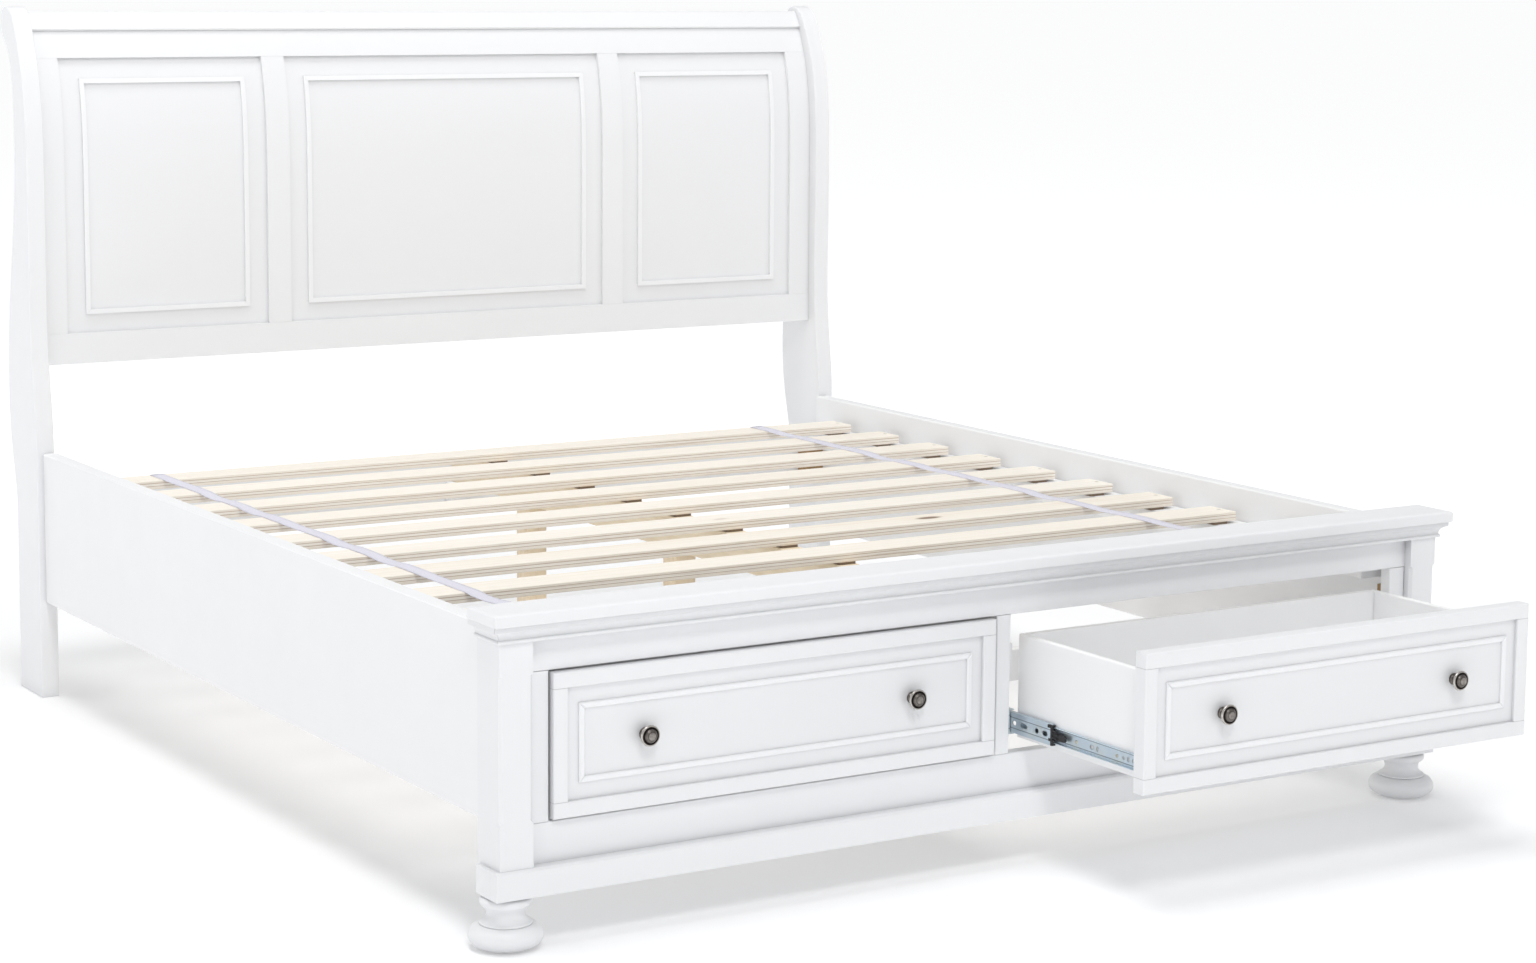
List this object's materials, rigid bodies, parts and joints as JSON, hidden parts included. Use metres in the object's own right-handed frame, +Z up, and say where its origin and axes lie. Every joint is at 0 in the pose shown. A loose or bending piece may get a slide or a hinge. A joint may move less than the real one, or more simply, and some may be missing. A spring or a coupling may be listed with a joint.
{
  "type": "wooden bed frame",
  "caption": "White sleigh bed frame with a curved panelled headboard, slatted platform, turned front feet and pull-out drawers in the footboard.",
  "frame": {"origin": "centre of the bed's bounding box on the floor, with the right drawer fully open", "axes": "+X across the bed to the right seen from the foot, +Y from the footboard to the headboard, +Z up"},
  "size_m": [2.069, 2.681, 1.482],
  "materials": {
    "white_paint": "satin white paint",
    "drawer_bottom_board": "matt white board",
    "pine": "plain sawn, unfinished",
    "hardwood": "raw, mottled",
    "webbing": "woven tape",
    "pewter": "antique pewter",
    "zinc_steel": "zinc plated",
    "plated_steel": "plated",
    "black_plastic": "matt",
    "glide_plastic": "matt"
  },
  "bodies": {
    "bed_frame": {"bay_rear_rail": "white_paint", "bun_foot_studs": "plated_steel", "centre_beam": "pine", "centre_legs": "pine", "footboard_bottom_rail": "white_paint", "footboard_cap": "white_paint", "footboard_cornice": "white_paint", "footboard_plinth": "white_paint", "footboard_stiles": "white_paint", "footboard_top_rail": "white_paint", "headboard_beads": "white_paint", "headboard_bottom_rail": "white_paint", "headboard_cap_rail": "white_paint", "headboard_centre_panel": "white_paint", "headboard_frieze_rail": "white_paint", "headboard_left_panel": "white_paint", "headboard_right_panel": "white_paint", "headboard_stiles": "white_paint", "headboard_stretcher": "white_paint", "left_bun_foot": "white_paint", "left_fixed_runners": "zinc_steel", "left_footboard_post": "white_paint", "left_headboard_post": "white_paint", "left_side_rail": "white_paint", "leg_glides": "glide_plastic", "post_hook_plates": "plated_steel", "rail_hooks": "plated_steel", "right_bun_foot": "white_paint", "right_fixed_runners": "zinc_steel", "right_footboard_post": "white_paint", "right_headboard_post": "white_paint", "right_side_rail": "white_paint", "side_ledgers": "white_paint", "slat_screws": "plated_steel", "slat_straps": "webbing", "slats": "pine", "slide_supports": "white_paint", "support_blocks": "hardwood"},
    "left_drawer": {"left_drawer_bead": "white_paint", "left_drawer_bottom": "drawer_bottom_board", "left_drawer_box": "white_paint", "left_drawer_frame": "white_paint", "left_drawer_knobs": "pewter", "left_drawer_panel": "white_paint", "left_drawer_runners": "zinc_steel", "left_knob_screws": "plated_steel"},
    "right_drawer": {"right_drawer_bead": "white_paint", "right_drawer_bottom": "drawer_bottom_board", "right_drawer_box": "white_paint", "right_drawer_frame": "white_paint", "right_drawer_knobs": "pewter", "right_drawer_panel": "white_paint", "right_drawer_runners": "zinc_steel", "right_knob_screws": "plated_steel"},
    "left_middle": {"left_middle_runners": "zinc_steel"},
    "right_middle": {"right_middle_runners": "zinc_steel"},
    "left_drawer_left_lever": {"left_drawer_left_lever": "black_plastic"},
    "left_drawer_right_lever": {"left_drawer_right_lever": "black_plastic"},
    "right_drawer_left_lever": {"right_drawer_left_lever": "black_plastic"},
    "right_drawer_right_lever": {"right_drawer_right_lever": "black_plastic"}
  },
  "joints": [
    {"name": "left_drawer_slide", "type": "slide", "parent": "bed_frame", "child": "left_drawer", "axis": [0, -1, 0], "range_m": [0, 0.358]},
    {"name": "left_middle_slide", "type": "slide", "parent": "bed_frame", "child": "left_middle", "axis": [0, -1, 0], "range_m": [0, 0.179]},
    {"name": "left_drawer_left_lever_press", "type": "hinge", "parent": "left_drawer", "child": "left_drawer_left_lever", "pos_m": [-0.8815, -0.7135, 0.254], "axis": [1, 0, 0], "range_deg": [-8, 8], "stiffness_Nm_per_rad": 0.01},
    {"name": "left_drawer_right_lever_press", "type": "hinge", "parent": "left_drawer", "child": "left_drawer_right_lever", "pos_m": [-0.0445, -0.7135, 0.254], "axis": [1, 0, 0], "range_deg": [-8, 8], "stiffness_Nm_per_rad": 0.01},
    {"name": "right_drawer_slide", "type": "slide", "parent": "bed_frame", "child": "right_drawer", "axis": [0, -1, 0], "range_m": [-0.358, 0]},
    {"name": "right_middle_slide", "type": "slide", "parent": "bed_frame", "child": "right_middle", "axis": [0, -1, 0], "range_m": [-0.179, 0]},
    {"name": "right_drawer_left_lever_press", "type": "hinge", "parent": "right_drawer", "child": "right_drawer_left_lever", "pos_m": [0.0445, -1.0715, 0.254], "axis": [1, 0, 0], "range_deg": [-8, 8], "stiffness_Nm_per_rad": 0.01},
    {"name": "right_drawer_right_lever_press", "type": "hinge", "parent": "right_drawer", "child": "right_drawer_right_lever", "pos_m": [0.8815, -1.0715, 0.254], "axis": [1, 0, 0], "range_deg": [-8, 8], "stiffness_Nm_per_rad": 0.01}
  ],
  "couplings": [
    {"joint": "left_middle_slide", "follows": "left_drawer_slide", "ratio": 0.5},
    {"joint": "right_middle_slide", "follows": "right_drawer_slide", "ratio": 0.5}
  ]
}
